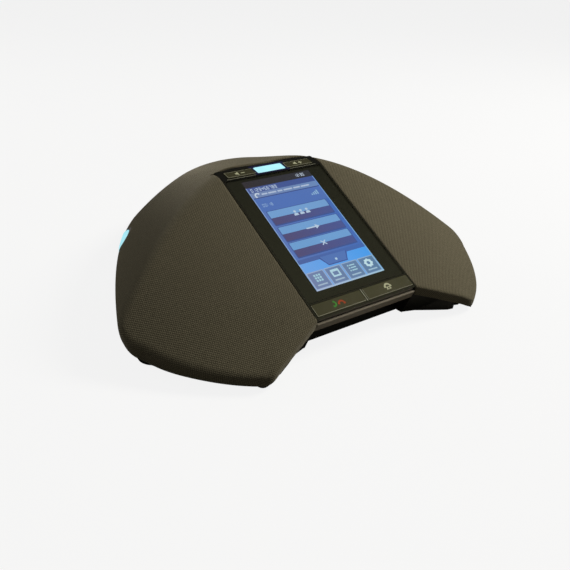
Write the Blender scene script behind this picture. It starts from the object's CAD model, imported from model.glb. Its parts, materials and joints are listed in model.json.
# A three-winged table phone: cloth-covered body with a sloping display module in its middle.
#
# The phone stands on the floor at z = 0. The display slopes down towards the front (-y), the
# wings reach out to the left (-x) and right (+x) and a third, blunt end points back (+y).
# The CAD pieces keep their shapes and get materials. The cloth skin, cover glass, display
# picture, key marks and key surrounds are built here. Sizes are in millimetres in drawing
# coordinates unless noted; metres() turns them into scene coordinates.
import bpy, bmesh, json, math
import numpy as np
from mathutils import Vector, Matrix


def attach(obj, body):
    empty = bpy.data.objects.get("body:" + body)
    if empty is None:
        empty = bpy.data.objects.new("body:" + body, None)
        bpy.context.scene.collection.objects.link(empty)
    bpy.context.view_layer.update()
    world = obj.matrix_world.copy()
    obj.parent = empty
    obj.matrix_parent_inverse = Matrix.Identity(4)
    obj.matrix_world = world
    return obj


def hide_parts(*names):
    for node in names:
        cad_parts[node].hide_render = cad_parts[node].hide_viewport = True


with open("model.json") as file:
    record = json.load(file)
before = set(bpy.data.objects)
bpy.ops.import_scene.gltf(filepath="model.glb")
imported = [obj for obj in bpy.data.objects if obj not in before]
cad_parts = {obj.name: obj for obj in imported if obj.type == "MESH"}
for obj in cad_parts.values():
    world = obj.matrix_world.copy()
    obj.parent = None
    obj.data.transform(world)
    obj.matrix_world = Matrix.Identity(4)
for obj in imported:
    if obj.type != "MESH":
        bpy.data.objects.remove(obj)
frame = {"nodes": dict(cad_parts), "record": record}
bpy.context.view_layer.update()
nodes = frame["nodes"]
MM = 0.001
SHIFT_Y = 4.5                      # from drawing y to model y

# ---------------------------------------------------------------- surface of the body
RIDGE_Y, RIDGE_Z = -20.4, 96.3     # upper edge of the front slope
SLOPE = 67.5 / 123.5
HALF_W = 47.0                      # half width of the display module
FRONT_Y = -144.0                   # front end of the display module
CROWN_LINEAR, CROWN_SQUARE = 0.084, 0.00186    # fall of the front slope beside the module
DOME_Z = 97.2
DOME_LINEAR, DOME_SQUARE = 0.005, 0.0056       # fall of a rear face outwards
SIDE_LINEAR, SIDE_SQUARE = 0.15, 0.00157       # fall of a rear face along its side
REAR_BLEND, RIDGE_BLEND = 10.0, 5.0            # softness of the joins between the faces

TILT = math.atan(SLOPE)
SIN_TILT, COS_TILT = math.sin(TILT), math.cos(TILT)
STRIP_DROP = 9.4                   # start of the volume key strip, down the slope from the ridge
STRIP_TILT = math.radians(13.6)


def soft_min(first, second, blend):
    t = np.clip(0.5 + 0.5 * (second - first) / blend, 0, 1)
    return second * (1 - t) + first * t - blend * t * (1 - t)


def height(x, y):
    """Height of the body surface: a crowned front slope and two rear faces, softly joined."""
    side = np.maximum(np.abs(x) - HALF_W, 0)
    front = RIDGE_Z + SLOPE * (y - RIDGE_Y) - CROWN_LINEAR * side - CROWN_SQUARE * side ** 2

    def rear(sign):
        out = -0.866 * x * sign + 0.5 * y
        along = 0.5 * x * sign + 0.866 * y
        return (DOME_Z - DOME_LINEAR * out - DOME_SQUARE * out * np.abs(out)
                - SIDE_SQUARE * along * along - SIDE_LINEAR * along)

    return soft_min(front, soft_min(rear(1), rear(-1), REAR_BLEND), RIDGE_BLEND)


def metres(x, y, z):
    return (x * MM, (y + SHIFT_Y) * MM, z * MM)


class Plane:
    """Local coordinates on a flat face: x across, y along the face, z out of it."""

    def __init__(self, origin, y_axis, z_axis):
        self.origin = np.array(origin, float)
        self.axes = [np.array(axis, float) for axis in ((1, 0, 0), y_axis, z_axis)]

    def __call__(self, x, y, z):
        x_axis, y_axis, z_axis = self.axes
        return metres(*(self.origin + x * x_axis + y * y_axis + z * z_axis))


# on the screen plane y runs down the slope, on the strip plane it runs up towards the back
SCREEN = Plane((0, RIDGE_Y, RIDGE_Z), (0, -COS_TILT, -SIN_TILT), (0, -SIN_TILT, COS_TILT))
STRIP = Plane((0, RIDGE_Y - STRIP_DROP * COS_TILT, RIDGE_Z - STRIP_DROP * SIN_TILT),
              (0, math.cos(STRIP_TILT), math.sin(STRIP_TILT)),
              (0, -math.sin(STRIP_TILT), math.cos(STRIP_TILT)))


# ---------------------------------------------------------------- shader helpers
def srgb(*levels):
    """Linear RGBA from three sRGB levels of 0 to 255."""
    def linear(level):
        part = level / 255.0
        return part / 12.92 if part <= 0.04045 else ((part + 0.055) / 1.055) ** 2.4
    return (*map(linear, levels), 1.0)


def rgba(color, factor=1.0):
    """Opaque colour made darker or lighter by a factor."""
    return (*(min(1, part * factor) for part in color[:3]), 1.0)


class Shader:
    """Builds the node tree of a material or world."""

    def __init__(self, owner, output="ShaderNodeOutputMaterial"):
        self.owner = owner
        owner.use_nodes = True
        self.tree = owner.node_tree
        self.tree.nodes.clear()
        self.output = self.node(output)

    def feed(self, socket, value):
        """Link a socket to another one, or give it a fixed value."""
        if isinstance(value, bpy.types.NodeSocket):
            self.tree.links.new(value, socket)
        else:
            socket.default_value = value

    def node(self, kind, inputs=None, **settings):
        node = self.tree.nodes.new(kind)
        for key, value in settings.items():
            setattr(node, key, value)
        for key, value in (inputs or {}).items():
            self.feed(node.inputs[key], value)
        return node

    def finish(self, surface):
        self.feed(self.output.inputs[0], surface)

    def bsdf(self, inputs):
        node = self.node("ShaderNodeBsdfPrincipled", inputs)
        self.finish(node.outputs[0])
        return node

    def coord(self):
        source = self.node("ShaderNodeTexCoord")
        return self.node("ShaderNodeMapping", {"Vector": source.outputs["Object"]}).outputs[0]

    def noise(self, vector, scale, detail=3.0):
        return self.node("ShaderNodeTexNoise", {
            "Scale": scale, "Detail": detail, "Roughness": 0.55, "Vector": vector}).outputs["Fac"]

    def calc(self, operation, *values, clamp=False):
        return self.node("ShaderNodeMath", dict(enumerate(values)),
                         operation=operation, use_clamp=clamp).outputs[0]

    def scaled(self, value, factor, offset, clamp=False):
        """value * factor + offset"""
        return self.calc("MULTIPLY_ADD", value, factor, offset, clamp=clamp)

    def sine(self, value, rate):
        return self.calc("SINE", self.calc("MULTIPLY", value, rate))

    def ramp(self, fac, stops):
        node = self.node("ShaderNodeValToRGB", {0: fac})
        elements = node.color_ramp.elements
        while len(elements) < len(stops):
            elements.new(0.5)
        for element, (position, color) in zip(elements, stops):
            element.position = position
            element.color = color
        return node.outputs[0]

    def bump(self, surface, strength, distance):
        """Bump from a height field; distance in metres."""
        return self.node("ShaderNodeBump", {"Strength": strength, "Distance": distance,
                                            "Height": surface}).outputs[0]

    def mix_shader(self, fac, first, second):
        return self.node("ShaderNodeMixShader", {0: fac, 1: first, 2: second}).outputs[0]


def new_shader(name):
    return Shader(bpy.data.materials.new(name))


# ---------------------------------------------------------------- materials
def plastic(name, color, rough, grain, grain_bump, variation=0.12, coat=0.0):
    """Moulded plastic: fine spark-eroded grain and slow tone variation."""
    shader = new_shader(name)
    bsdf = shader.bsdf({"Roughness": rough})
    coord = shader.coord()
    tone = shader.noise(coord, scale=28.0, detail=4.0)
    fine = shader.noise(coord, scale=grain, detail=2.0)
    base = shader.ramp(tone, [(0.3, rgba(color, 1 - variation)),
                              (0.7, rgba(color, 1 + variation))])
    shader.feed(bsdf.inputs["Base Color"], base)
    shader.feed(bsdf.inputs["Roughness"], shader.scaled(fine, factor=0.16, offset=rough - 0.08))
    shader.feed(bsdf.inputs["Normal"], shader.bump(fine, strength=grain_bump, distance=0.0002))
    if coat:
        bsdf.inputs["Coat Weight"].default_value = coat
        bsdf.inputs["Coat Roughness"].default_value = 0.05
    return shader.owner


def metal(name, color, rough):
    """Brushed metal, the brush lines running along x."""
    shader = new_shader(name)
    bsdf = shader.bsdf({"Metallic": 1.0, "Roughness": rough})
    source = shader.node("ShaderNodeTexCoord")
    mapping = shader.node("ShaderNodeMapping", {"Scale": (90.0, 2600.0, 2600.0),
                                                "Vector": source.outputs["Object"]})
    brush = shader.noise(mapping.outputs[0], scale=1.0)
    base = shader.ramp(brush, [(0.3, rgba(color, 0.86)), (0.7, rgba(color))])
    shader.feed(bsdf.inputs["Base Color"], base)
    shader.feed(bsdf.inputs["Roughness"], shader.scaled(brush, factor=0.2, offset=rough - 0.1))
    shader.feed(bsdf.inputs["Normal"], shader.bump(brush, strength=0.08, distance=0.0001))
    return shader.owner


def rubber(name, color, rough=0.75):
    """Matt, slightly rough and mottled."""
    shader = new_shader(name)
    bsdf = shader.bsdf({"Roughness": rough})
    grain = shader.noise(shader.coord(), scale=700.0, detail=4.0)
    base = shader.ramp(grain, [(0.35, rgba(color, 0.8)), (0.65, rgba(color))])
    shader.feed(bsdf.inputs["Base Color"], base)
    shader.feed(bsdf.inputs["Roughness"], shader.scaled(grain, factor=0.15, offset=rough - 0.07))
    shader.feed(bsdf.inputs["Normal"], shader.bump(grain, strength=0.2, distance=0.0003))
    return shader.owner


def circuit(name):
    """Green board with a brick pattern of lighter lines."""
    shader = new_shader(name)
    bsdf = shader.bsdf({"Roughness": 0.35})
    coord = shader.coord()
    brick = shader.node("ShaderNodeTexBrick", {
        "Scale": 210.0, "Mortar Size": 0.04, "Color1": (0.008, 0.075, 0.03, 1),
        "Color2": (0.010, 0.09, 0.038, 1), "Mortar": (0.02, 0.16, 0.06, 1), "Vector": coord})
    shader.feed(bsdf.inputs["Base Color"], brick.outputs["Color"])
    grain = shader.noise(coord, scale=900.0)
    shader.feed(bsdf.inputs["Normal"], shader.bump(grain, strength=0.1, distance=0.0001))
    return shader.owner


def cloth(name, pitch, tint):
    """Tight plain-weave speaker cloth: two crossed thread directions, slubs and soft sheen."""
    shader = new_shader(name)
    bsdf = shader.bsdf({"Roughness": 0.88, "Specular IOR Level": 0.25, "Sheen Weight": 0.22,
                        "Sheen Roughness": 0.45, "Sheen Tint": (0.75, 0.7, 0.58, 1)})
    weave_map = shader.node("ShaderNodeUVMap", uv_map="weave")
    coord = shader.coord()
    # a small wander so that the threads aren't ruler straight
    wander = shader.node("ShaderNodeTexNoise", {"Scale": 42.0, "Detail": 2.0, "Vector": coord})
    moved = shader.node("ShaderNodeVectorMath", {
        0: wander.outputs["Color"], 1: (1.1, 1.1, 0), 2: weave_map.outputs[0]},
        operation="MULTIPLY_ADD")
    axes = shader.node("ShaderNodeSeparateXYZ", {0: moved.outputs[0]})
    rate = 2 * math.pi / pitch
    # the over-under pattern, and rounded threads of half its rate
    over_under = shader.calc("MULTIPLY", *[shader.sine(axes.outputs[i], rate) for i in (0, 1)])
    thread = shader.calc("MULTIPLY", *[
        shader.calc("ABSOLUTE", shader.sine(axes.outputs[i], rate * 0.5)) for i in (0, 1)])
    weave = shader.scaled(over_under, factor=0.25, offset=shader.calc("MULTIPLY", thread, 0.9))
    weave = shader.scaled(weave, factor=1.0, offset=0.1, clamp=True)
    slub = shader.noise(coord, scale=950.0, detail=3.0)
    broad = shader.noise(coord, scale=22.0, detail=3.0)
    tone = shader.scaled(slub, factor=0.55, offset=shader.calc("MULTIPLY", weave, 0.75))
    tone = shader.scaled(broad, factor=0.10, offset=shader.calc("SUBTRACT", tone, 0.22),
                         clamp=True)
    base = shader.ramp(tone, [(0.08, rgba((0.040, 0.0345, 0.0215), tint)),
                              (0.5, rgba((0.098, 0.0865, 0.056), tint)),
                              (0.95, rgba((0.19, 0.168, 0.115), tint))])
    shader.feed(bsdf.inputs["Base Color"], base)
    relief = shader.scaled(slub, factor=0.35, offset=weave)
    shader.feed(bsdf.inputs["Normal"], shader.bump(relief, strength=0.42, distance=0.00032))
    return shader.owner


def emitter(name, color, strength, core=None):
    """Lit translucent plastic whose colour may change from the middle of the face outwards."""
    shader = new_shader(name)
    facing = shader.node("ShaderNodeLayerWeight", {0: 0.35}).outputs["Facing"]
    # inputs 0, 6 and 7 are the factor and the two colours, output 2 is the colour
    glow = shader.node("ShaderNodeMix", {0: facing, 6: core or color, 7: color},
                       data_type="RGBA").outputs[2]
    uneven = shader.noise(shader.coord(), scale=160.0, detail=2.0)
    power = shader.scaled(uneven, factor=0.25, offset=strength - 0.12)
    shader.bsdf({"Roughness": 0.25, "Base Color": rgba(color, 0.25),
                 "Emission Color": glow, "Emission Strength": power})
    return shader.owner


def picture_material(name, column_pitch):
    """Lit display picture: colours come from the mesh, broken up by very fine columns."""
    shader = new_shader(name)
    colors = shader.node("ShaderNodeVertexColor", layer_name="ui")
    face_map = shader.node("ShaderNodeUVMap", uv_map="weave")
    axes = shader.node("ShaderNodeSeparateXYZ", {0: face_map.outputs[0]})
    columns = shader.sine(axes.outputs[0], 2 * math.pi / column_pitch)
    columns = shader.scaled(columns, factor=0.03, offset=0.97)
    uneven = shader.noise(shader.coord(), scale=30.0, detail=1.0)
    power = shader.calc("MULTIPLY", columns, shader.scaled(uneven, factor=0.10, offset=0.84))
    shader.bsdf({"Roughness": 0.6, "Base Color": (0.01, 0.01, 0.012, 1),
                 "Emission Color": colors.outputs["Color"], "Emission Strength": power})
    return shader.owner


def glass_material(name):
    """Clear cover glass: see-through, with a Fresnel reflection and a faint smear in the gloss."""
    shader = new_shader(name)
    fresnel = shader.node("ShaderNodeFresnel", {"IOR": 1.5})
    smear = shader.noise(shader.coord(), scale=60.0, detail=4.0)
    gloss = shader.node("ShaderNodeBsdfGlossy", {
        "Roughness": shader.scaled(smear, factor=0.05, offset=0.015), "Color": (1, 1, 1, 1)})
    clear = shader.node("ShaderNodeBsdfTransparent", {"Color": (0.97, 0.98, 0.98, 1)})
    geometry = shader.node("ShaderNodeNewGeometry")
    front = shader.calc("SUBTRACT", 1.0, geometry.outputs["Backfacing"])
    reflection = shader.calc("MULTIPLY", fresnel.outputs[0], front)
    shader.finish(shader.mix_shader(reflection, clear.outputs[0], gloss.outputs[0]))
    return shader.owner


MAT = {
    "cloth": cloth("speaker_cloth", pitch=1.2, tint=0.86),
    "shell_plastic": plastic("shell_plastic", (0.018, 0.018, 0.018),
                             rough=0.55, grain=1500, grain_bump=0.2),
    "base_plastic": plastic("base_plastic", (0.0125, 0.0125, 0.0105),
                            rough=0.5, grain=1700, grain_bump=0.3, variation=0.15),
    "frame_plastic": plastic("frame_plastic", (0.006, 0.006, 0.0055), rough=0.2, grain=900,
                             grain_bump=0.03, variation=0.1, coat=0.5),
    "trim_plastic": plastic("trim_plastic", (0.235, 0.208, 0.163),
                            rough=0.38, grain=1500, grain_bump=0.15, variation=0.1),
    "cover_glass": glass_material("cover_glass_clear"),
    "black_print": plastic("black_print", (0.004, 0.004, 0.0035),
                           rough=0.4, grain=600, grain_bump=0.02),
    "sensor_film": plastic("sensor_film", (0.02, 0.02, 0.022),
                           rough=0.2, grain=600, grain_bump=0.02),
    "lcd": plastic("lcd_back", (0.02, 0.03, 0.05), rough=0.35, grain=600, grain_bump=0.02),
    "tray_metal": metal("tray_metal", (0.72, 0.73, 0.74), rough=0.32),
    "steel": metal("steel", (0.56, 0.56, 0.55), rough=0.3),
    "key_black": plastic("key_black", (0.042, 0.040, 0.022),
                         rough=0.24, grain=900, grain_bump=0.04, coat=0.35),
    "key_lit": emitter("key_lit", srgb(150, 228, 246), strength=0.88, core=srgb(196, 246, 252)),
    "silicone": rubber("silicone", (0.42, 0.42, 0.4), rough=0.6),
    "black_rubber": rubber("black_rubber", (0.012, 0.012, 0.012)),
    "circuit": circuit("circuit"),
    "chip": plastic("chip", (0.012, 0.012, 0.013), rough=0.45, grain=2500, grain_bump=0.25),
    "flex_film": plastic("flex_film", (0.32, 0.13, 0.02), rough=0.3, grain=700, grain_bump=0.05),
    "brass": metal("brass", (0.72, 0.5, 0.2), rough=0.32),
    "magnet": plastic("magnet", (0.03, 0.03, 0.03), rough=0.6, grain=1400, grain_bump=0.3),
    "basket": plastic("basket", (0.02, 0.02, 0.02), rough=0.4, grain=1200, grain_bump=0.15),
    "cone_paper": rubber("cone_paper", (0.03, 0.03, 0.03), rough=0.8),
    "spider_cloth": rubber("spider_cloth", (0.35, 0.22, 0.08), rough=0.85),
    "foam": rubber("foam", (0.02, 0.02, 0.02), rough=0.95),
    "ui": picture_material("display_picture", column_pitch=0.135),
    "icon_white": emitter("icon_white", srgb(196, 196, 160), strength=0.42),
    "icon_green": emitter("icon_green", srgb(70, 150, 60), strength=0.42),
    "icon_red": emitter("icon_red", srgb(176, 70, 40), strength=0.42),
    "bezel_blue": plastic("bezel_blue", (0.012, 0.012, 0.05),
                          rough=0.25, grain=700, grain_bump=0.03, coat=0.4),
    "key_edge": plastic("key_edge", (0.20, 0.20, 0.15), rough=0.3, grain=900, grain_bump=0.05),
    "port_dark": plastic("port_dark", (0.006, 0.006, 0.006),
                         rough=0.5, grain=1500, grain_bump=0.2),
    "contact": metal("contact", (0.85, 0.62, 0.25), rough=0.25),
}

slot_of = {part["node"]: part["material_slot"] for part in frame["record"]["subparts"]}
for node_name, node_obj in nodes.items():
    node_obj.data.materials.clear()
    node_obj.data.materials.append(MAT[slot_of[node_name]])
    for polygon in node_obj.data.polygons:
        polygon.material_index = 0


# ---------------------------------------------------------------- mesh helpers
def link_object(name, mesh):
    obj = bpy.data.objects.new(name, mesh)
    bpy.context.scene.collection.objects.link(obj)
    return obj


def fix_normals(mesh, merge=0.0):
    """Turn all faces outwards, first merging points closer than merge metres."""
    bm = bmesh.new()
    bm.from_mesh(mesh)
    if merge:
        bmesh.ops.remove_doubles(bm, verts=bm.verts, dist=merge)
    bmesh.ops.recalc_face_normals(bm, faces=bm.faces)
    bm.to_mesh(mesh)
    bm.free()
    mesh.update()


def closed_solid(name, verts, faces, material):
    mesh = bpy.data.meshes.new(name)
    mesh.from_pydata(verts, [], faces)
    mesh.validate()
    mesh.update()
    obj = link_object(name, mesh)
    mesh.materials.append(material)
    fix_normals(mesh, merge=1e-7)
    return obj


def rounded_rect(x0, x1, y0, y1, radius, steps):
    points = []
    corners = ((x1 - radius, y1 - radius, 0), (x0 + radius, y1 - radius, 90),
               (x0 + radius, y0 + radius, 180), (x1 - radius, y0 + radius, 270))
    for x, y, start in corners:
        for i in range(steps + 1):
            angle = math.radians(start + 90 * i / steps)
            points.append((x + radius * math.cos(angle), y + radius * math.sin(angle)))
    return points


def circle(x, y, radius, count):
    return [(x + radius * math.cos(2 * math.pi * i / count),
             y + radius * math.sin(2 * math.pi * i / count)) for i in range(count)]


WHITE = (1, 1, 1, 1)


class Slabs:
    """Many thin closed prisms in one mesh, each with its own corner colours.

    A colour is an RGBA tuple or a function of x and y. low and high are heights off the plane.
    """

    def __init__(self, plane):
        self.plane = plane
        self.verts, self.faces, self.colors, self.uvs, self.slots = [], [], [], [], []

    def face(self, corners, colors, uvs, slot):
        self.faces.append(corners)
        self.colors.append(colors)
        self.uvs.append(uvs)
        self.slots.append(slot)

    def prism(self, points, low, high, color=WHITE, slot=0):
        colors = [color(x, y) if callable(color) else color for x, y in points]
        count = len(points)
        pairs = [(i, (i + 1) % count) for i in range(count)]
        area = sum(points[i][0] * points[j][1] - points[j][0] * points[i][1] for i, j in pairs)
        if area < 0:
            points, colors = points[::-1], colors[::-1]
        start = len(self.verts)
        for z in (low, high):
            self.verts += [self.plane(x, y, z) for x, y in points]
        bottom = list(range(start, start + count))
        top = [corner + count for corner in bottom]
        self.face(top, colors, points, slot)
        self.face(bottom[::-1], colors[::-1], points[::-1], slot)
        for i, j in pairs:
            self.face([bottom[i], bottom[j], top[j], top[i]],
                      [colors[i], colors[j], colors[j], colors[i]],
                      [points[i], points[j], points[j], points[i]], slot)

    def rect(self, x0, x1, y0, y1, low, high, color=WHITE, radius=0.0):
        if radius > 0:
            points = rounded_rect(x0, x1, y0, y1, radius, 4)
        else:
            points = [(x0, y0), (x1, y0), (x1, y1), (x0, y1)]
        self.prism(points, low, high, color)

    def ring(self, outer, inner, low, high, color=WHITE):
        """Closed ring between two outlines with the same number of points."""
        count = len(outer)
        start = len(self.verts)
        for points, z in ((outer, low), (inner, low), (outer, high), (inner, high)):
            self.verts += [self.plane(x, y, z) for x, y in points]
        outer_low, inner_low, outer_high, inner_high = (start + i * count for i in range(4))
        for i in range(count):
            j = (i + 1) % count
            for corners in ([outer_high + i, outer_high + j, inner_high + j, inner_high + i],
                            [outer_low + i, inner_low + i, inner_low + j, outer_low + j],
                            [outer_low + i, outer_low + j, outer_high + j, outer_high + i],
                            [inner_low + i, inner_high + i, inner_high + j, inner_low + j]):
                self.face(corners, [color] * 4, [outer[i]] * 4, 0)

    def build(self, name, body, slot, *materials):
        """Make the object, let it ride on a body and give it a material slot."""
        mesh = bpy.data.meshes.new(name)
        mesh.from_pydata(self.verts, [], self.faces)
        color_layer = mesh.color_attributes.new("ui", "FLOAT_COLOR", "CORNER")
        uv_layer = mesh.uv_layers.new(name="weave")
        colors = [color for face in self.colors for color in face]
        uvs = [uv for face in self.uvs for uv in face]
        for i, (color, uv) in enumerate(zip(colors, uvs)):
            color_layer.data[i].color = color
            uv_layer.data[i].uv = uv
        for material in materials:
            mesh.materials.append(MAT[material])
        mesh.polygons.foreach_set("material_index", self.slots)
        mesh.update()
        obj = link_object(name, mesh)
        fix_normals(mesh)
        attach(obj, body)


# ---------------------------------------------------------------- plan outline of the body
WING_X, WING_Y = 159.0, -92.0      # outer end of a wing
TOE_X, TOE_Y = 96.0, -161.0        # front corner of a wing
REAR_SIDE = 105.0                  # distance of the rear sides from the origin
REAR_END = (-19.8, 144)            # left end of the arc round the back
REAR_TIP_Y = 151.0
ARC_STEP = 0.6
FRONT_EDGE_STEPS = 70


def arc_through(start, middle, end):
    """Points of the circular arc through three points, about ARC_STEP apart."""
    (x1, y1), (x2, y2), (x3, y3) = start, middle, end
    sq1, sq2, sq3 = x1 ** 2 + y1 ** 2, x2 ** 2 + y2 ** 2, x3 ** 2 + y3 ** 2
    det = x1 * (y2 - y3) - y1 * (x2 - x3) + x2 * y3 - x3 * y2
    det_x = sq1 * (y3 - y2) + sq2 * (y1 - y3) + sq3 * (y2 - y1)
    det_y = sq1 * (x2 - x3) + sq2 * (x3 - x1) + sq3 * (x1 - x2)
    x, y = -det_x / (2 * det), -det_y / (2 * det)
    radius = math.hypot(x1 - x, y1 - y)
    first = math.atan2(y1 - y, x1 - x)
    last = math.atan2(y3 - y, x3 - x)
    while last - first > math.pi:
        last -= 2 * math.pi
    while first - last > math.pi:
        last += 2 * math.pi
    count = max(3, int(abs(last - first) * radius / ARC_STEP))
    angles = [first + (last - first) * i / count for i in range(count + 1)]
    return [(x + radius * math.cos(angle), y + radius * math.sin(angle)) for angle in angles]


def plan_outline():
    """Open outline from the module's left front corner round the back to the right one."""
    toe_start = (-TOE_X + 4.5, TOE_Y + 1.6)
    toe_end = (-TOE_X - 3.5, TOE_Y + 2.2)
    tip_start = (-WING_X + 5, WING_Y - 9)
    tip_end = (-WING_X, WING_Y + 14)
    points = [(-HALF_W + (toe_start[0] + HALF_W) * i / FRONT_EDGE_STEPS,
               FRONT_Y + (toe_start[1] - FRONT_Y) * i / FRONT_EDGE_STEPS)
              for i in range(FRONT_EDGE_STEPS)]
    # start, middle and end of the arcs up the left side
    for arc in ((toe_start, (-TOE_X - 0.3, TOE_Y + 1.2), toe_end),
                (toe_end, (-133.0, -131.6), tip_start),
                (tip_start, (-WING_X - 1.0, WING_Y + 3), tip_end),
                (tip_end, (-0.866 * REAR_SIDE, 0.5 * REAR_SIDE), REAR_END)):
        points += arc_through(*arc)[:-1]
    rear = arc_through(REAR_END, (0, REAR_TIP_Y), (-REAR_END[0], REAR_END[1]))
    left = np.array(points + [point for point in rear if point[0] < -0.05])
    return np.vstack([left, [[0, REAR_TIP_Y]], left[::-1] * [-1, 1]])


OUTLINE = plan_outline()

# ---------------------------------------------------------------- side keys on the rear sides
# name, direction the key faces (degrees from +x), place along the side
SIDE_KEYS = (("left_side_key", 150.0, 24.0), ("right_side_key", 30.0, -24.0))
KEY_HALF_W, KEY_FOOT_Z, KEY_SHOULDER_Z, KEY_CROWN_Z = 21.0, 24.0, 33.0, 43.0
KEY_ARCH_STEPS = 22
OPENING_GROW = 2.4                 # the cloth opening stands this much round the key
CUTTER_FOOT_Z = 5.0
CUTTER_OUT = (86.0, 125.0)         # reach of the cutter from the origin


def side_to_plan(azimuth, out, along):
    cos, sin = math.cos(math.radians(azimuth)), math.sin(math.radians(azimuth))
    return out * cos - along * sin, out * sin + along * cos


def plan_to_side(azimuth, x, y):
    cos, sin = math.cos(math.radians(azimuth)), math.sin(math.radians(azimuth))
    return x * cos + y * sin, -x * sin + y * cos


def key_arch(grow):
    """Half width, radius and centre height of the arc over both shoulders and the crown."""
    half = KEY_HALF_W + grow
    crown = KEY_CROWN_Z + grow
    rise = crown - KEY_SHOULDER_Z
    radius = (half * half + rise * rise) / (2 * rise)
    return half, radius, crown - radius


def key_outline(grow):
    """Arched outline of a side key in (along the side, up)."""
    half, radius, centre = key_arch(grow)
    foot = KEY_FOOT_Z - grow
    first = math.atan2(KEY_SHOULDER_Z - centre, half)
    angles = [first + (math.pi - 2 * first) * i / KEY_ARCH_STEPS
              for i in range(KEY_ARCH_STEPS + 1)]
    arch = [(radius * math.cos(angle), centre + radius * math.sin(angle)) for angle in angles]
    return [(half, foot)] + arch + [(-half, foot)]


def make_cutter(azimuth, offset):
    profile = key_outline(OPENING_GROW)
    profile[0] = (profile[0][0], CUTTER_FOOT_Z)
    profile[-1] = (profile[-1][0], CUTTER_FOOT_Z)
    verts = [metres(*side_to_plan(azimuth, out, offset + along), z)
             for out in CUTTER_OUT for along, z in profile]
    count = len(profile)
    faces = [tuple(range(count)), tuple(range(2 * count - 1, count - 1, -1))]
    for i in range(count):
        j = (i + 1) % count
        faces.append((i, count + i, count + j, j))
    mesh = bpy.data.meshes.new("cutter")
    mesh.from_pydata(verts, [], faces)
    cutter = link_object("cutter", mesh)
    fix_normals(mesh)
    return cutter, verts


def is_cutter_wall(face, azimuth, offset):
    """True for a face left inside the opening or standing square to the body side."""
    x, y, z = face.calc_center_median() / MM
    out, along = plan_to_side(azimuth, x, y - SHIFT_Y)
    along -= offset
    half, radius, centre = key_arch(OPENING_GROW)
    if out <= 84:
        return False
    if abs(along) < half - 0.02:
        arch_z = centre + math.sqrt(radius * radius - along * along)
        if 4 < z < arch_z - 0.02:
            return True
    facing = plan_to_side(azimuth, face.normal.x, face.normal.y)[0]
    return (abs(along) < half + 0.3 and abs(facing) < 0.02
            and face.calc_area() > 1e-5 and out > 106.5)


def cut_side_openings(skin):
    """Cut the arched openings of the two side keys out of the skin."""
    for _, azimuth, offset in SIDE_KEYS:
        cutter, cutter_verts = make_cutter(azimuth, offset)
        boolean = skin.modifiers.new("side_opening", "BOOLEAN")
        boolean.operation = "DIFFERENCE"
        boolean.solver = "EXACT"
        boolean.object = cutter
        bpy.context.view_layer.update()
        graph = bpy.context.evaluated_depsgraph_get()
        mesh = bpy.data.meshes.new_from_object(skin.evaluated_get(graph))
        skin.modifiers.remove(boolean)
        skin.data = mesh
        cutter_mesh = cutter.data
        bpy.data.objects.remove(cutter)
        bpy.data.meshes.remove(cutter_mesh)
        # an open skin keeps the cutter's own walls: drop every face that isn't on the skin
        bm = bmesh.new()
        bm.from_mesh(mesh)
        bm.verts.index_update()
        places = np.array([tuple(vert.co) for vert in bm.verts])
        gaps = np.abs(places[:, None, :] - np.array(cutter_verts)[None, :, :]).max(axis=2)
        on_corner = (gaps < 3e-6).any(axis=1)
        walls = [face for face in bm.faces
                 if any(on_corner[vert.index] for vert in face.verts)
                 or is_cutter_wall(face, azimuth, offset)]
        bmesh.ops.delete(bm, geom=walls, context="FACES")
        bm.to_mesh(mesh)
        bm.free()


# ---------------------------------------------------------------- cloth cover
COLUMNS = 560                      # steps along the outline
TOP_ROWS = 64                      # steps from the display joint out to the rim
JOINT_X = HALF_W + 0.3             # the joint runs just outside the module
JOINT_TOP_Y = RIDGE_Y + 6.5 + 0.1
RIM_DEPTH = 7.5
RIM_SQUASH = 0.62                  # depth of the rim rounding against its radius
TIP_STATION = 51 + 80              # way along the outline to the wing tip
TIP_DROP, TIP_SPREAD = 2.6, 26.0   # extra rim depth round the wing tip
TOE_LIFT, TOE_SPREAD = 0.62, 6.5   # the cloth rides higher over the front corners
TOE_LIFT_X, TOE_LIFT_Y = 88.0, -158.5
WEAVE_ANGLE = math.radians(47)


def smooth(points, passes):
    result = points.copy()
    for _ in range(passes):
        result[1:-1] = 0.25 * result[:-2] + 0.5 * result[1:-1] + 0.25 * result[2:]
    return result


def unit(vectors):
    return vectors / np.hypot(*vectors.T)[:, None]


def at_height(points, z):
    return np.column_stack([points, z])


def surface_z(points):
    return height(points[:, 0], points[:, 1])


def turn_to_weave(x, y):
    cos, sin = math.cos(WEAVE_ANGLE), math.sin(WEAVE_ANGLE)
    return np.stack([x * cos - y * sin, x * sin + y * cos], axis=-1)


def joint_line(station, reach, half):
    """Inner edge of the skin: up beside the module, then across above the ridge."""
    rise = JOINT_TOP_Y - FRONT_Y
    # way along the outline from its nearer end, and the matching way along the joint
    way = np.interp(reach, [0, 51, 118, 145, 215, half],
                    [2.2, 14, rise * 0.62, rise * 0.78, rise, rise + JOINT_X])
    x = -JOINT_X + np.maximum(way - rise, 0)
    y = np.where(way <= rise, FRONT_Y + way, JOINT_TOP_Y)
    return np.column_stack([np.where(station <= half, x, -x), y])


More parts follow.
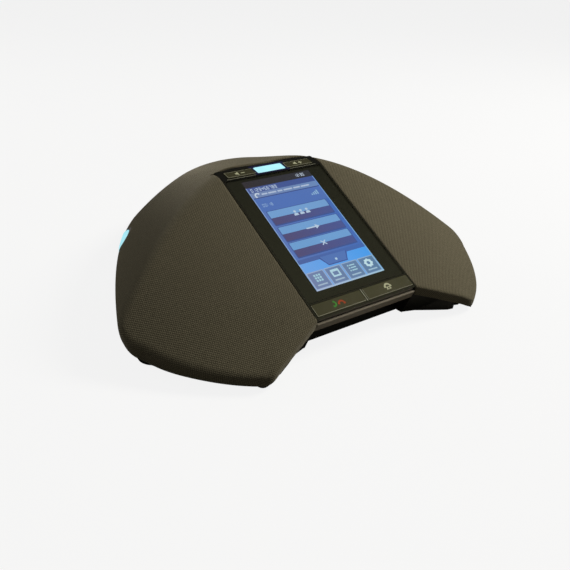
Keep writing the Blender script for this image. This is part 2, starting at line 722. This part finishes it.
def cloth_rows():
    """Rows of skin points from the display joint to the turned-in rim, and outward normals."""
    steps = np.hypot(*np.diff(OUTLINE, axis=0).T)
    run = np.concatenate([[0], np.cumsum(steps)])
    total = run[-1]
    half = total / 2
    station = np.linspace(0, total, COLUMNS + 1)
    reach = np.minimum(station, total - station)
    rim = smooth(np.stack([np.interp(station, run, OUTLINE[:, i]) for i in (0, 1)], 1), 2)
    # rounded tangents for a stable inset
    tangent = unit(smooth(unit(np.gradient(rim, axis=0)), 6))
    normal = np.stack([-tangent[:, 1], tangent[:, 0]], 1)
    # the cloth stands a hair proud of the shell, except at its ends beside the display
    rim = rim + normal * np.interp(reach, [0, 6, 14], [0.0, 0.25, 0.45])[:, None]
    inner = joint_line(station, reach, half)
    # rounding of the cloth edge: tight beside the display, generous round the wing tips
    radius = np.interp(reach, [0, 40, 62, 95, 150, 190, half],
                       [1.7, 1.9, 2.8, 3.8, 3.8, 3.6, 3.6])
    drop = TIP_DROP * np.exp(-((reach - TIP_STATION) / TIP_SPREAD) ** 2)

    # the skin turns down into the joint beside the display
    rows = [at_height(inner, surface_z(inner) - sink) for sink in (3.4, 0.75)]
    toward = rim - inner
    length = np.maximum(np.hypot(*toward.T), 1e-6)[:, None]
    toward = toward / length
    for inset, sink in ((0.25, 0.28), (0.7, 0.02)):
        points = inner + toward * np.minimum(inset, length * 0.2)
        rows.append(at_height(points, surface_z(points) - sink))
    start = inner + toward * np.minimum(0.7, length * 0.2)
    edge = rim - normal * radius[:, None]
    for j in range(1, TOP_ROWS + 1):
        t = j / TOP_ROWS
        points = start * (1 - t) + edge * t
        rows.append(at_height(points, surface_z(points)))
    for degrees in (12, 26, 40, 54, 68, 80, 90):
        angle = math.radians(degrees)
        points = rim - normal * (radius * (1 - math.sin(angle)))[:, None]
        fall = radius * (1 - math.cos(angle)) * RIM_SQUASH
        rows.append(at_height(points, surface_z(points) - fall))
    # down the shell with a growing inset, then a last row tucked under
    rim_z = surface_z(rim)
    round_depth = radius * RIM_SQUASH
    for inset, part in ((0.1, 0.3), (0.35, 0.62), (0.65, 0.86), (1.0, 1.0)):
        depth = round_depth + (RIM_DEPTH + drop - round_depth) * part
        rows.append(at_height(rim - normal * inset, rim_z - depth))
    rows.append(at_height(rim - normal * 2.0, rim_z - RIM_DEPTH - drop + 0.15))

    rows = np.array(rows)
    gap = (np.abs(rows[:, :, 0]) - TOE_LIFT_X) ** 2 + (rows[:, :, 1] - TOE_LIFT_Y) ** 2
    rows[:, :, 2] += TOE_LIFT * np.exp(-gap / (2 * TOE_SPREAD ** 2))
    return rows, normal


def weave_coordinates(rows, normal):
    """Flat plan coordinates; past the edge they keep the distance along the skin."""
    uv = turn_to_weave(rows[:, :, 0], rows[:, :, 1])
    outward = turn_to_weave(normal[:, 0], normal[:, 1])
    edge_row = 4 + TOP_ROWS - 1
    way = np.zeros(rows.shape[1])
    for j in range(edge_row + 1, len(rows)):
        way = way + np.linalg.norm(rows[j] - rows[j - 1], axis=1)
        uv[j] = uv[edge_row] + outward * way[:, None]
    return uv.reshape(-1, 2)


def build_cloth():
    rows, normal = cloth_rows()
    row_count, column_count = rows.shape[:2]
    faces = []
    for j in range(row_count - 1):
        for i in range(column_count - 1):
            corner = j * column_count + i
            faces.append((corner, corner + 1, corner + column_count + 1, corner + column_count))
    mesh = bpy.data.meshes.new("cloth_skin")
    mesh.from_pydata([metres(*point) for point in rows.reshape(-1, 3)], [], faces)
    uv_layer = mesh.uv_layers.new(name="weave")
    loop_verts = np.zeros(len(mesh.loops), int)
    mesh.loops.foreach_get("vertex_index", loop_verts)
    uv_layer.data.foreach_set("uv", weave_coordinates(rows, normal)[loop_verts].ravel())
    mesh.update()
    skin = link_object("cloth_skin", mesh)
    mesh.materials.append(MAT["cloth"])
    mesh.polygons.foreach_set("use_smooth", [True] * len(mesh.polygons))

    bm = bmesh.new()
    bm.from_mesh(mesh)
    bmesh.ops.remove_doubles(bm, verts=bm.verts, dist=2e-6)
    bmesh.ops.dissolve_degenerate(bm, edges=bm.edges, dist=1e-6)
    bmesh.ops.recalc_face_normals(bm, faces=bm.faces)
    # an open skin has no sure outside: make its highest face look up
    top = max(bm.faces, key=lambda face: face.calc_center_median().z)
    if top.normal.z < 0:
        bmesh.ops.reverse_faces(bm, faces=bm.faces)
    bm.to_mesh(mesh)
    bm.free()

    cut_side_openings(skin)
    solidify = skin.modifiers.new("thickness", "SOLIDIFY")
    solidify.thickness = 0.45 * MM
    solidify.offset = -1.0
    solidify.use_rim = True
    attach(skin, "phone_body")
    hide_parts("fabric_cover")


build_cloth()

# ---------------------------------------------------------------- cover glass and its print
GLASS_X, GLASS_TOP, GLASS_END = 45.8, 9.7, 127.9      # half width, upper and lower edge
IMAGE_X, IMAGE_TOP, IMAGE_END = 32.4, 11.9, 119.9     # the same for the lit picture
GLASS_PROFILE = [(0.0, -1.05), (0.0, -0.3), (0.10, -0.1), (0.30, 0.0)]    # inset, height


def build_glass():
    outline = rounded_rect(-GLASS_X, GLASS_X, GLASS_TOP, GLASS_END, 1.2, 8)
    middle = (GLASS_TOP + GLASS_END) / 2
    half = (GLASS_END - GLASS_TOP) / 2
    verts = [SCREEN(x * (GLASS_X - inset) / GLASS_X,
                    middle + (y - middle) * (half - inset) / half, z)
             for inset, z in GLASS_PROFILE for x, y in outline]
    count = len(outline)
    last = len(GLASS_PROFILE) - 1
    faces = []
    for j in range(last):
        for i in range(count):
            k = (i + 1) % count
            faces.append((j * count + i, j * count + k, (j + 1) * count + k, (j + 1) * count + i))
    faces.append(tuple(range(count))[::-1])
    faces.append(tuple(last * count + i for i in range(count)))
    glass = closed_solid("cover_glass", verts, faces, MAT["cover_glass"])
    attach(glass, "phone_body")
    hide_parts("touch_glass")


build_glass()

border = Slabs(SCREEN)
border.ring(rounded_rect(-GLASS_X + 0.05, GLASS_X - 0.05, GLASS_TOP + 0.05, GLASS_END - 0.05, 1.1, 8),
            rounded_rect(-IMAGE_X, IMAGE_X, IMAGE_TOP, IMAGE_END, 0.15, 8), -1.45, -1.15)
border.build("black_print_border", "phone_body", "cover_glass", "black_print")

# ---------------------------------------------------------------- display picture
# Places are fractions of the picture: u from left to right, v from top to bottom. Shapes lie
# in numbered layers, a higher number nearer the glass.
LAYER_Z, LAYER_STEP, LAYER_DEPTH = -1.44, 0.02, 0.016
SOFT_KEY_TOPS = (0.296, 0.446, 0.590)
SOFT_KEY_MIDDLE = 0.062            # from the top of a soft key
TILE_LEFT, TILE_PITCH, TILE_W = 0.012, 0.247, 0.235
ICON_V = 0.905


def layer_z(layer):
    low = LAYER_Z + LAYER_STEP * layer
    return low, low + LAYER_DEPTH


def image_x(u):
    return -IMAGE_X + 2 * IMAGE_X * u


def image_y(v):
    return IMAGE_TOP + (IMAGE_END - IMAGE_TOP) * v


def across(x, y):
    return (x + IMAGE_X) / (2 * IMAGE_X)


def down(x, y):
    return (y - IMAGE_TOP) / (IMAGE_END - IMAGE_TOP)


def blend(start, end, direction):
    """Colour that runs between two sRGB colours over the whole picture."""
    first, last = srgb(*start), srgb(*end)

    def color(x, y):
        t = min(1, max(0, direction(x, y)))
        return tuple(first[i] * (1 - t) + last[i] * t for i in range(4))
    return color


class Picture(Slabs):
    def area(self, u0, u1, v0, v1, color, layer, radius=0.0):
        """Rectangle placed by fractions of the picture."""
        self.box(image_x(u0), image_x(u1), image_y(v0), image_y(v1), color, layer, radius)

    def box(self, x0, x1, y0, y1, color, layer, radius=0.0):
        self.rect(x0, x1, y0, y1, *layer_z(layer), color, radius)

    def shape(self, points, color, layer):
        self.prism(points, *layer_z(layer), color)

    def patch(self, places, color, layer):
        """Polygon placed by fractions of the picture."""
        self.shape([(image_x(u), image_y(v)) for u, v in places], color, layer)


def draw_ground(picture):
    for i in range(6):
        picture.area(i / 6, (i + 1) / 6, 0.0, 1.0,
                     blend((92, 124, 196), (66, 112, 196), across), 0)
    # status row, number row, title row and the line under it:
    # u0, u1, v0, v1, left colour, right colour, corner radius
    for u0, u1, v0, v1, left, right, radius in (
            (0, 1, 0.0, 0.062, (44, 38, 48), (40, 42, 56), 0.0),
            (0, 1, 0.062, 0.112, (72, 92, 158), (62, 88, 160), 0.0),
            (0.02, 0.985, 0.112, 0.160, (122, 142, 190), (112, 146, 200), 0.3),
            (0.02, 0.985, 0.160, 0.168, (60, 82, 146), (56, 80, 150), 0.0)):
        picture.area(u0, u1, v0, v1, blend(left, right, across), 1, radius)
    for i in range(4):
        picture.area(i / 4, (i + 1) / 4, 0.168, 0.292,
                     blend((86, 122, 198), (70, 112, 190), down), 1)


def draw_soft_keys(picture):
    """Three wide keys, each a dark edge, a light upper half and a dark lower half."""
    for top in SOFT_KEY_TOPS:
        picture.area(0.055, 0.935, top - 0.004, top + 0.134,
                     blend((60, 84, 152), (58, 88, 158), across), 1, 0.9)
        picture.area(0.065, 0.925, top, top + 0.066,
                     blend((128, 172, 226), (108, 168, 226), down), 2, 0.7)
        picture.area(0.065, 0.925, top + 0.062, top + 0.124,
                     blend((84, 76, 122), (74, 90, 158), across), 3)


def draw_band(picture):
    """Blue band with a tab in its middle."""
    picture.patch([(0, 0.772), (0.30, 0.772), (0.36, 0.832), (0.64, 0.832), (0.70, 0.772),
                   (1.0, 0.772), (1.0, 0.738), (0, 0.738)],
                  blend((78, 104, 172), (66, 110, 190), across), 3)
    picture.area(0, 1, 0.766, 1.0, blend((116, 176, 250), (72, 168, 255), across), 1)
    picture.patch([(0.30, 0.760), (0.70, 0.760), (0.64, 0.838), (0.36, 0.838)],
                  blend((64, 88, 158), (60, 92, 170), across), 4)
    picture.patch([(0.312, 0.758), (0.688, 0.758), (0.632, 0.830), (0.368, 0.830)],
                  blend((92, 124, 188), (82, 122, 196), down), 5)
    picture.area(0.49, 0.52, 0.795, 0.812, srgb(190, 220, 245), 6, 0.3)


def draw_tiles(picture):
    """Four tiles, each an edge, a field and a bar near the bottom."""
    for i in range(4):
        left = TILE_LEFT + TILE_PITCH * i
        picture.area(left, left + TILE_W, 0.850, 0.990,
                     blend((168, 186, 222), (150, 186, 220), across), 2, 0.4)
        picture.area(left + 0.012, left + 0.223, 0.858, 0.984,
                     blend((122, 138, 184), (92, 132, 172), across), 3, 0.4)
        picture.area(left + 0.05, left + 0.185, 0.955, 0.966,
                     blend((176, 196, 220), (168, 204, 226), across), 4)


def draw_tile_icons(picture):
    """Keypad, window, list and dial."""
    centres = [image_x(TILE_LEFT + TILE_PITCH * i + TILE_W / 2) for i in range(4)]
    y = image_y(ICON_V)
    color = srgb(176, 220, 236)
    x = centres[0]
    for i in range(3):
        for j in range(3):
            picture.box(x - 3.0 + 2.2 * i, x - 1.4 + 2.2 * i,
                        y - 3.2 + 2.3 * j, y - 1.5 + 2.3 * j, color, 5, 0.25)
    x = centres[1]
    picture.ring(rounded_rect(x - 3.8, x + 3.8, y - 3.3, y + 3.3, 0.6, 4),
                 rounded_rect(x - 2.3, x + 2.3, y - 1.3, y + 1.9, 0.3, 4),
                 *layer_z(5), srgb(190, 228, 244))
    x = centres[2]
    for j in range(3):
        picture.box(x - 3.4, x - 2.2, y - 3.0 + 2.3 * j, y - 1.8 + 2.3 * j, color, 5)
        picture.box(x - 1.5, x + 3.5, y - 2.9 + 2.3 * j, y - 1.9 + 2.3 * j, color, 5)
    x = centres[3]
    # the dial's outer edge has eight teeth
    outer = []
    for i in range(32):
        radius = 3.4 + (0.6 if i % 4 < 2 else 0)
        angle = 2 * math.pi * i / 32
        outer.append((x + radius * math.cos(angle), y + radius * math.sin(angle)))
    picture.ring(outer, circle(x, y, 1.5, 32), *layer_z(5), srgb(206, 238, 248))


# bars of a figure: a top, g middle, d bottom, f and b upper left and right, e and c lower
FIGURE_BARS = {"0": "abcdef", "1": "bc", "2": "abged", "3": "abgcd", "4": "fgbc",
               "5": "afgcd", "6": "afgedc", "7": "abc", "8": "abcdefg", "9": "abfgcd"}


def draw_figures(picture, text, u, v, size, color):
    """Seven-bar figures and colons; size is their height."""
    x, y = image_x(u), image_y(v)
    width, bar = size * 0.52, size * 0.15
    # the upright bars keep clear of the level ones
    upper = (bar * 1.05, size / 2 - bar * 0.55)
    lower = (size / 2 + bar * 0.55, size - bar * 1.05)
    boxes = {"a": (0, width, 0, bar),
             "g": (0, width, size / 2 - bar / 2, size / 2 + bar / 2),
             "d": (0, width, size - bar, size),
             "f": (0, bar, *upper), "b": (width - bar, width, *upper),
             "e": (0, bar, *lower), "c": (width - bar, width, *lower)}
    for letter in text:
        if letter == ":":
            for part in (0.3, 0.7):
                middle = y + size * part
                picture.box(x, x + bar, middle - bar / 2, middle + bar / 2, color, 2)
            x += bar * 2.4
            continue
        for name in FIGURE_BARS[letter]:
            x0, x1, y0, y1 = boxes[name]
            picture.box(x + x0, x + x1, y + y0, y + y1, color, 2)
        x += width * 1.38


def draw_handset(slabs, x, y, size, low, high, color=WHITE, slot=0, turn=0.0):
    """A curved receiver: one arched grip with an ear piece and a mouth piece."""
    inner_r, outer_r = size * 0.42, size * 0.62
    cos, sin = math.cos(turn), math.sin(turn)

    def turned(points):
        return [(x + dx * cos - dy * sin, y + dx * sin + dy * cos) for dx, dy in points]

    angles = [math.radians(degrees) for degrees in range(18, 163, 12)]
    grip = [(outer_r * math.cos(angle), -outer_r * math.sin(angle) + size * 0.16)
            for angle in angles]
    grip += [(inner_r * math.cos(angle), -inner_r * 0.86 * math.sin(angle) + size * 0.2)
             for angle in reversed(angles)]
    slabs.prism(turned(grip), low, high, color, slot)
    for sign in (-1, 1):
        pad = [(sign * size * 0.30, size * 0.02), (sign * size * 0.66, -size * 0.06),
               (sign * size * 0.70, size * 0.24), (sign * size * 0.36, size * 0.32)]
        slabs.prism(turned(pad), low - 0.002, high + 0.003, color, slot)


def draw_text_rows(picture):
    """Clock, timer, number, then the title row's marks and the signal bars."""
    draw_figures(picture, "12:30", 0.755, 0.016, 3.0, srgb(206, 220, 240))
    draw_figures(picture, "00:18", 0.07, 0.222, 3.0, srgb(150, 182, 226))
    draw_figures(picture, "0123456789", 0.05, 0.074, 3.4, srgb(196, 214, 240))
    draw_handset(picture, image_x(0.09), image_y(0.136), 4.2, *layer_z(3),
                 color=srgb(214, 226, 242), turn=-0.7)
    for u0, u1 in ((0.155, 0.235), (0.250, 0.365), (0.385, 0.455),
                   (0.475, 0.60), (0.62, 0.72), (0.735, 0.86)):
        picture.area(u0, u1, 0.130, 0.143, srgb(190, 206, 234), 2, 0.3)
    for i in range(4):
        picture.area(0.80 + 0.03 * i, 0.818 + 0.03 * i, 0.222 - 0.009 * i, 0.236,
                     srgb(156, 196, 232), 2)


def draw_soft_key_marks(picture):
    """Three people, an arrow and a closing cross in the middle of the soft keys."""
    color = srgb(196, 218, 242)
    middle = image_x(0.5)
    people_y, arrow_y, cross_y = (image_y(top + SOFT_KEY_MIDDLE) for top in SOFT_KEY_TOPS)
    y = people_y
    for shift in (-5.6, 0, 5.6):
        x = middle + shift
        picture.shape(circle(x, y - 1.6, 1.15, 14), color, 5)
        picture.shape([(x - 2.1, y + 2.3), (x - 1.7, y + 0.4), (x, y - 0.1),
                       (x + 1.7, y + 0.4), (x + 2.1, y + 2.3)], color, 5)
    x, y = middle, arrow_y
    picture.box(x - 6.0, x + 3.0, y - 0.55, y + 0.55, color, 5)
    picture.shape([(x + 2.6, y - 2.2), (x + 6.4, y), (x + 2.6, y + 2.2)], color, 6)
    stroke = [(-3.0, -2.2), (-2.0, -2.8), (3.0, 2.2), (2.0, 2.8)]
    for sign, layer in ((-1, 6), (1, 5)):
        picture.shape([(middle + dx * 0.8, cross_y + sign * dy * 0.8) for dx, dy in stroke],
                      color, layer)


def draw_edges(picture):
    """Bright lines along the left, right and bottom edges."""
    picture.area(0, 0.012, 0.062, 1.0, blend((150, 176, 232), (150, 190, 240), down), 6)
    picture.area(0.988, 1, 0.062, 1.0, blend((120, 160, 226), (140, 196, 240), down), 6)
    picture.area(0, 1, 0.990, 1.0, blend((186, 204, 240), (176, 214, 236), across), 7)


display = Picture(SCREEN)
for draw in (draw_ground, draw_soft_keys, draw_band, draw_tiles, draw_tile_icons,
             draw_text_rows, draw_soft_key_marks, draw_edges):
    draw(display)
display.build("display_picture_layers", "phone_body", "lcd", "ui")

# ---------------------------------------------------------------- hook and home keys
KEY_TOP = 0.36                     # height of the key face off the screen plane
MARK_TOP = KEY_TOP + 0.06


def build_hook_marks():
    """A green and a red handset."""
    marks = Slabs(SCREEN)
    draw_handset(marks, -27.2, 134.0, 3.9, KEY_TOP, MARK_TOP, slot=0, turn=math.pi / 2 + 0.35)
    draw_handset(marks, -21.2, 134.4, 4.6, KEY_TOP, MARK_TOP, slot=1, turn=0.15)
    marks.build("hook_key_marks", "hook_key", "key_black", "icon_green", "icon_red")


def build_home_marks():
    """A desk phone: a foot with a dark dial and a handset above it."""
    marks = Slabs(SCREEN)
    x, y = 23.5, 134.6
    foot_top = KEY_TOP + 0.05
    marks.prism([(x - 1.2, y - 0.4), (x + 1.2, y - 0.4), (x + 2.3, y + 1.9), (x - 2.3, y + 1.9)],
                KEY_TOP, foot_top)
    marks.prism(circle(x, y + 0.85, 0.75, 16), foot_top, KEY_TOP + 0.07, slot=1)
    draw_handset(marks, x, y - 1.3, 5.0, KEY_TOP, MARK_TOP)
    marks.build("home_key_marks", "home_key", "key_black", "icon_white", "key_black")


def build_edge_lines(name, body, slot, plane, rects, low, high):
    """Thin pale lines, given as x0, x1, y0, y1."""
    lines = Slabs(plane)
    for rect in rects:
        lines.rect(*rect, low, high)
    lines.build(name, body, slot, "key_edge")


build_hook_marks()
build_home_marks()
# bevels of the two key caps: a line along the near edge and one along the left edge
CAP_TOP, CAP_END = 129.65, 139.2
for key, left, right, line in (("hook_key", -45.3, -1.25, 0.42), ("home_key", 1.25, 45.3, 0.30)):
    build_edge_lines(key + "_bevel", key, "key_black", SCREEN,
                     [(left, right, CAP_END - line, CAP_END),
                      (left, left + 0.34, CAP_TOP, CAP_END - line - 0.02)], 0.353, 0.353 + 0.03)
build_edge_lines("key_divider", "phone_body", "frame_plastic", SCREEN,
                 [(-0.42, 0.42, 129.3, 139.6)], 0.02, 0.22)

# ---------------------------------------------------------------- volume keys
VOLUME_MARK_LOW = 0.41
VOLUME_MARK_HIGH = VOLUME_MARK_LOW + 0.06
VOLUME_MARK_Y = 7.3


def build_volume_marks(key, x, plus):
    """A loudspeaker with a minus or plus sign to its right."""
    marks = Slabs(STRIP)
    y = VOLUME_MARK_Y
    heights = (VOLUME_MARK_LOW, VOLUME_MARK_HIGH)
    marks.prism([(x - 4.2, y - 0.9), (x - 3.0, y - 0.9), (x - 1.4, y - 2.2),
                 (x - 1.4, y + 2.2), (x - 3.0, y + 0.9), (x - 4.2, y + 0.9)], *heights)
    marks.rect(x + 0.9, x + 4.3, y - 0.4, y + 0.4, *heights)
    if plus:
        marks.rect(x + 2.2, x + 3.0, y + 0.42, y + 1.8, *heights)
        marks.rect(x + 2.2, x + 3.0, y - 1.8, y - 0.42, *heights)
    marks.build(key + "_marks", key + "_key", "key_black", "icon_white")


for key, left, right in (("volume_down", -40.3, -15.3), ("volume_up", 15.3, 40.3)):
    build_edge_lines(key + "_bevel", key + "_key", "key_black", STRIP,
                     [(left, right, 3.75, 4.15), (left, left + 0.35, 4.17, 10.7),
                      (left + 0.4, right, 10.45, 10.7)], 0.403, 0.43)
build_edge_lines("key_strip_lines", "phone_body", "frame_plastic", STRIP,
                 [(-42.6, -16.2, 1.55, 1.95), (16.2, 42.6, 1.55, 1.95)], 0.01, 0.09)
build_volume_marks("volume_down", -27.8, plus=False)
build_volume_marks("volume_up", 27.8, plus=True)

# ---------------------------------------------------------------- dark key surrounds
SURROUND_FOOT_Z = 25.0


def rim_distance(azimuth, along):
    """Distance outwards of the plan outline at a place along one rear side."""
    outs, alongs = plan_to_side(azimuth, OUTLINE[:, 0], OUTLINE[:, 1])
    near = outs > 60
    outs, alongs = outs[near], alongs[near]
    order = np.argsort(alongs)
    return float(np.interp(along, alongs[order], outs[order]))


def point_on_skin(azimuth, along, z, sink):
    """Find where the body surface falls to z, going outwards, then step back by sink."""
    low, high = 80.0, 107.5
    for _ in range(40):
        middle = (low + high) / 2
        if height(*side_to_plan(azimuth, middle, along)) > z:
            low = middle
        else:
            high = middle
    out = min(low, rim_distance(azimuth, along)) - sink
    return metres(*side_to_plan(azimuth, out, along), z)


def build_side_surround(name, azimuth, offset):
    """Open arch lying round a side key in the opening of the cloth."""
    inner, outer = key_outline(0.3), key_outline(2.3)
    verts = [point_on_skin(azimuth, offset + along, max(z, SURROUND_FOOT_Z), sink)
             for sink in (0.1, 1.0) for profile in (inner, outer) for along, z in profile]
    n = len(inner)
    faces = []
    for i in range(n - 1):
        j = i + 1
        faces += [(i, j, n + j, n + i),
                  (2 * n + i, 3 * n + i, 3 * n + j, 2 * n + j),
                  (i, 2 * n + i, 2 * n + j, j),
                  (n + i, n + j, 3 * n + j, 3 * n + i)]
    faces += [(0, n, 3 * n, 2 * n), (n - 1, 3 * n - 1, 4 * n - 1, 2 * n - 1)]
    surround = closed_solid(name + "_surround", verts, faces, MAT["bezel_blue"])
    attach(surround, "phone_body")


for side_key in SIDE_KEYS:
    build_side_surround(*side_key)

mute_surround = Slabs(STRIP)
mute_surround.ring(rounded_rect(-16.6, 16.6, 1.2, 13.6, 1.6, 6),
                   rounded_rect(-13.42, 13.42, 2.98, 11.62, 0.5, 6), 0.01, 0.30)
mute_surround.build("mute_key_surround", "phone_body", "frame_plastic", "bezel_blue")


# ---------------------------------------------------------------- rounded edges of CAD pieces
def soften(node, width):
    """Real moulded edges: a small round where the CAD has a sharp corner."""
    modifiers = nodes[node].modifiers
    modifiers.new("edge_merge", "WELD").merge_threshold = 1e-6
    bevel = modifiers.new("edge_round", "BEVEL")
    bevel.width = width * MM
    bevel.segments = 2
    bevel.limit_method = "ANGLE"
    bevel.angle_limit = math.radians(35)
    bevel.harden_normals = False
    bevel.use_clamp_overlap = True
    modifiers.new("edge_normals", "WEIGHTED_NORMAL").keep_sharp = False


for piece, edge_width in (("display_frame", 0.25), ("key_strip", 0.25), ("chin_trim", 0.25),
                          ("connector_panel", 0.1)):
    soften(piece, edge_width)


# ---------------------------------------------------------------- floor
def floor_material():
    """Evenly lit pale table with a faint contact shadow, and a calm bounce on the phone."""
    shader = new_shader("floor_pale")
    glow = shader.node("ShaderNodeEmission", {"Color": (1, 1, 1, 1), "Strength": 0.868})
    tone = shader.ramp(shader.noise(shader.coord(), scale=3.0),
                       [(0.0, rgba((0.060, 0.060, 0.060))), (1.0, rgba((0.064, 0.064, 0.064)))])
    shadow = shader.node("ShaderNodeBsdfDiffuse", {"Color": tone})
    seen = shader.node("ShaderNodeAddShader", {0: glow.outputs[0], 1: shadow.outputs[0]})
    bounce = shader.node("ShaderNodeBsdfDiffuse", {"Color": (0.16, 0.15, 0.13, 1)})
    path = shader.node("ShaderNodeLightPath")
    shader.finish(shader.mix_shader(path.outputs["Is Camera Ray"],
                                    bounce.outputs[0], seen.outputs[0]))
    return shader.owner


FLOOR_HALF, FLOOR_Z = 6, -0.0002   # metres
floor_mesh = bpy.data.meshes.new("floor")
floor_mesh.from_pydata([(x * FLOOR_HALF, y * FLOOR_HALF, FLOOR_Z)
                        for x, y in ((-1, -1), (1, -1), (1, 1), (-1, 1))], [], [(0, 1, 2, 3)])
floor = link_object("floor", floor_mesh)
floor_mesh.materials.append(floor_material())


# ---------------------------------------------------------------- world and lights
def build_world():
    """Pale backdrop for the camera, warm dim fill, and a separate room for reflections."""
    world = bpy.data.worlds.new("studio")
    bpy.context.scene.world = world
    shader = Shader(world, output="ShaderNodeOutputWorld")

    def background(color, strength):
        return shader.node("ShaderNodeBackground",
                           {"Color": color, "Strength": strength}).outputs[0]

    path = shader.node("ShaderNodeLightPath")
    backdrop = background(color=(0.921, 0.921, 0.921, 1), strength=1.0)
    fill = background(color=(1.0, 0.975, 0.90, 1), strength=0.17)
    # what gloss parts mirror: a dim room with one warm soft panel high on the right
    direction = shader.node("ShaderNodeTexCoord").outputs["Generated"]
    toward_panel = shader.node("ShaderNodeVectorMath", {
        0: direction, 1: Vector((0.50, -0.17, 0.85)).normalized()}, operation="DOT_PRODUCT")
    room = shader.ramp(toward_panel.outputs["Value"], [(0.90, (0.03, 0.03, 0.022, 1)),
                                                       (1.0, (0.34, 0.33, 0.19, 1))])
    mirrored = background(color=room, strength=1.0)
    lit = shader.mix_shader(path.outputs["Is Glossy Ray"], fill, mirrored)
    shader.finish(shader.mix_shader(path.outputs["Is Camera Ray"], lit, backdrop))


def area_light(name, location, target, size, energy, color):
    """Round soft light, metres and watts, hidden from reflections."""
    light = bpy.data.lights.new(name, "AREA")
    light.shape = "DISK"
    light.size = size
    light.energy = energy
    light.color = color
    obj = link_object(name, light)
    obj.location = location
    aim = Vector(target) - Vector(location)
    obj.rotation_euler = aim.to_track_quat("-Z", "Y").to_euler()
    obj.visible_glossy = False


build_world()
area_light("key_light", location=(1.15, -0.38, 1.05), target=(0, -0.02, 0.03),
           size=0.6, energy=30, color=(1.0, 0.97, 0.89))
area_light("back_light", location=(-0.75, 1.2, 0.6), target=(0, 0, 0.05),
           size=0.7, energy=6, color=(1.0, 0.98, 0.93))

# ---------------------------------------------------------------- camera
CAMERA_AZIMUTH = math.radians(-38.16)      # from straight in front, negative to the left
CAMERA_ELEVATION = math.radians(26.135)
CAMERA_ROLL = math.radians(2.338)
CAMERA_DISTANCE = 518.765
CAMERA_TARGET = (-32.77, -90.533 + SHIFT_Y, 28.526)
SENSOR_WIDTH = 36.0
FOCAL_LENGTH = 44.8486737
LENS_SHIFT = (-0.0017754386, 0.0003122807)     # parts of the image width


def build_camera():
    back = Vector((math.sin(CAMERA_AZIMUTH) * math.cos(CAMERA_ELEVATION),
                   -math.cos(CAMERA_AZIMUTH) * math.cos(CAMERA_ELEVATION),
                   math.sin(CAMERA_ELEVATION)))
    level = Vector((0, 0, 1)).cross(back).normalized()
    upright = back.cross(level)
    cos, sin = math.cos(CAMERA_ROLL), math.sin(CAMERA_ROLL)
    right = level * cos + upright * sin
    up = -level * sin + upright * cos
    place = (Vector(CAMERA_TARGET) + back * CAMERA_DISTANCE) * MM
    lens = bpy.data.cameras.new("camera")
    camera = link_object("camera", lens)
    camera.matrix_world = Matrix((*zip(right, up, back, place), (0, 0, 0, 1)))
    lens.sensor_width = SENSOR_WIDTH
    lens.lens = FOCAL_LENGTH
    lens.shift_x, lens.shift_y = LENS_SHIFT
    lens.clip_start = 0.01
    bpy.context.scene.camera = camera


build_camera()
bpy.context.scene.view_settings.view_transform = "Standard"
bpy.context.scene.view_settings.look = "None"


bpy.context.view_layer.update()
